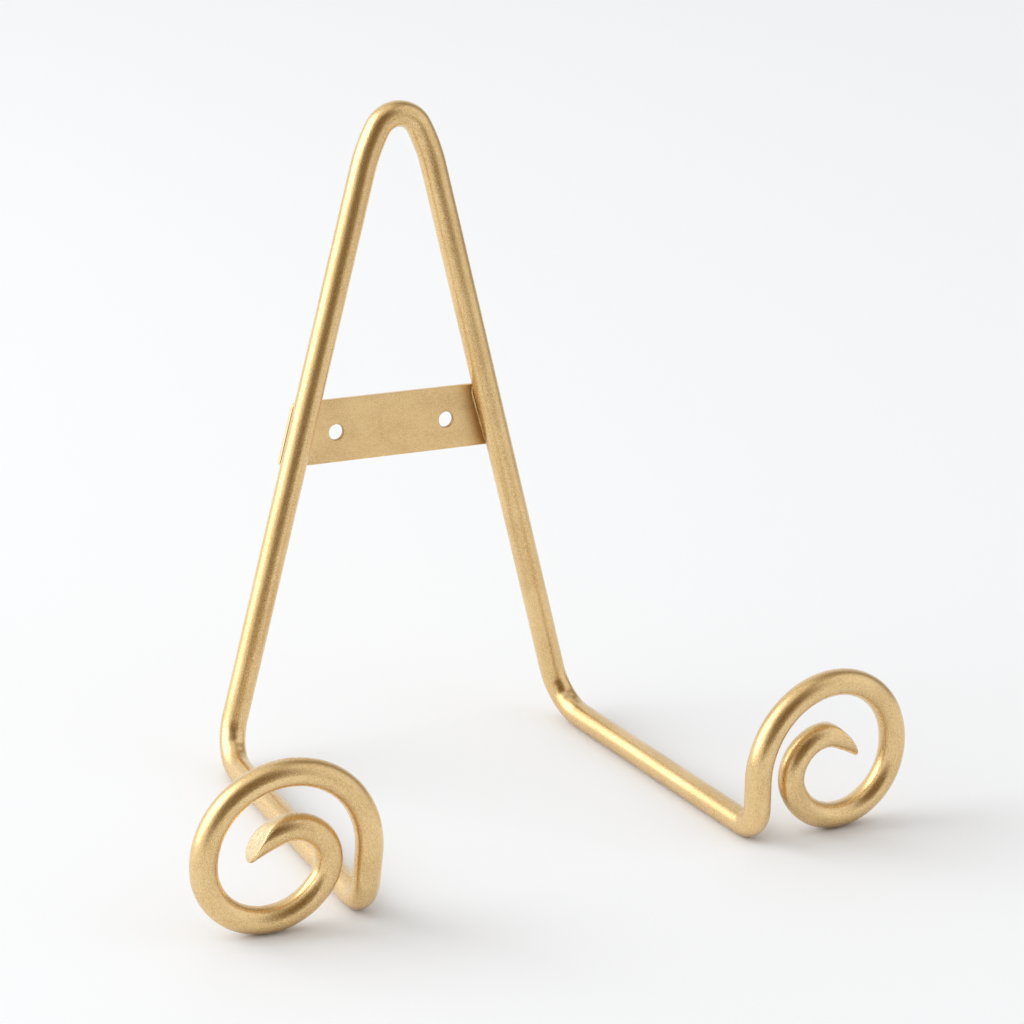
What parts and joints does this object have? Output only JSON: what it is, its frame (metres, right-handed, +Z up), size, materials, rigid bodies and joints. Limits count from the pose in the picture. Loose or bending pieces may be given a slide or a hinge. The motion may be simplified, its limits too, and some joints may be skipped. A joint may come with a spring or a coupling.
{
  "type": "photo album stand",
  "caption": "Easel for a photo album, bent from round steel rod: an A-shaped leaning back, two floor rails and two front scrolls, with a flat drilled strap across the legs.",
  "frame": {"origin": "on the floor, at the middle of the stand's width and depth", "axes": "+Z up, +X to the right of someone facing the stand's front, +Y from the scrolls at the front to the leaning legs at the back"},
  "size_m": [0.2358, 0.135, 0.2027],
  "materials": {
    "rod": "satin antique-gold paint on round steel rod, fine lengthwise brushing and grain",
    "strap": "the same gold paint on flat steel, slightly sandy, with eased edges",
    "braze": "the same gold paint over smooth brazing beads"
  },
  "bodies": {
    "root": {"apex_bend": "rod", "back_strap": "strap", "left_leg": "rod", "left_heel_bend": "rod", "left_rail": "rod", "left_toe_bend": "rod", "left_scroll": "rod", "left_inner_braze": "braze", "left_outer_braze": "braze", "right_leg": "rod", "right_heel_bend": "rod", "right_rail": "rod", "right_toe_bend": "rod", "right_scroll": "rod", "right_inner_braze": "braze", "right_outer_braze": "braze"}
  },
  "joints": []
}
